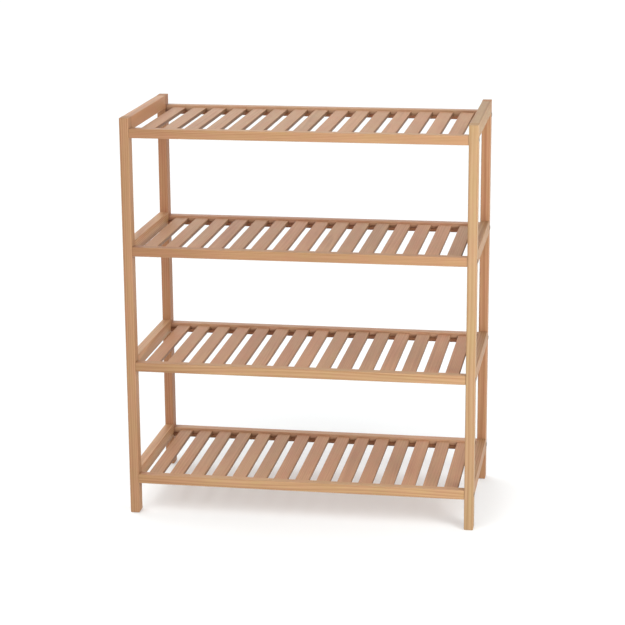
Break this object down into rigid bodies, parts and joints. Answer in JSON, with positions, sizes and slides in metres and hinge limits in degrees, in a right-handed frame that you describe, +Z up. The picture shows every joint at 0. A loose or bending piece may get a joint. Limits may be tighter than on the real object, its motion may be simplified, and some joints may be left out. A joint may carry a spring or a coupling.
{
  "type": "slatted shoe rack",
  "caption": "Free-standing wooden shoe rack with slatted shelves between two dowelled side frames, open at the front, the back and the sides.",
  "frame": {"origin": "on the floor under the middle of the rack", "axes": "+Z up, +X to the right seen from the front, +Y from the front to the back"},
  "size_m": [0.6824, 0.324, 0.79],
  "materials": {
    "frame_wood": "planed, clear satin oil",
    "rail_wood": "planed, clear satin oil",
    "slat_wood": "planed, clear satin oil",
    "dowel_wood": "raw turned beech",
    "screw_steel": "dull bronze-toned zinc"
  },
  "bodies": {
    "root": {"post_front_left": "frame_wood", "post_rear_left": "frame_wood", "post_front_right": "frame_wood", "post_rear_right": "frame_wood", "side_rail_left_1": "frame_wood", "side_rail_left_2": "frame_wood", "side_rail_left_3": "frame_wood", "top_rail_left": "frame_wood", "side_rail_right_1": "frame_wood", "side_rail_right_2": "frame_wood", "side_rail_right_3": "frame_wood", "top_rail_right": "frame_wood", "front_rail_1": "rail_wood", "front_rail_2": "rail_wood", "front_rail_3": "rail_wood", "front_rail_4": "rail_wood", "rear_rail_1": "rail_wood", "rear_rail_2": "rail_wood", "rear_rail_3": "rail_wood", "rear_rail_4": "rail_wood", "slat_deck_1": "slat_wood", "slat_deck_2": "slat_wood", "slat_deck_3": "slat_wood", "slat_deck_4": "slat_wood", "dowel_front_left_1": "dowel_wood", "dowel_front_left_2": "dowel_wood", "dowel_front_left_3": "dowel_wood", "dowel_front_left_4": "dowel_wood", "dowel_front_right_1": "dowel_wood", "dowel_front_right_2": "dowel_wood", "dowel_front_right_3": "dowel_wood", "dowel_front_right_4": "dowel_wood", "dowel_rear_left_1": "dowel_wood", "dowel_rear_left_2": "dowel_wood", "dowel_rear_left_3": "dowel_wood", "dowel_rear_left_4": "dowel_wood", "dowel_rear_right_1": "dowel_wood", "dowel_rear_right_2": "dowel_wood", "dowel_rear_right_3": "dowel_wood", "dowel_rear_right_4": "dowel_wood", "screw_front_left_1": "screw_steel", "screw_front_left_2": "screw_steel", "screw_front_left_3": "screw_steel", "screw_front_left_4": "screw_steel", "screw_front_right_1": "screw_steel", "screw_front_right_2": "screw_steel", "screw_front_right_3": "screw_steel", "screw_front_right_4": "screw_steel", "screw_rear_left_1": "screw_steel", "screw_rear_left_2": "screw_steel", "screw_rear_left_3": "screw_steel", "screw_rear_left_4": "screw_steel", "screw_rear_right_1": "screw_steel", "screw_rear_right_2": "screw_steel", "screw_rear_right_3": "screw_steel", "screw_rear_right_4": "screw_steel"}
  },
  "joints": []
}
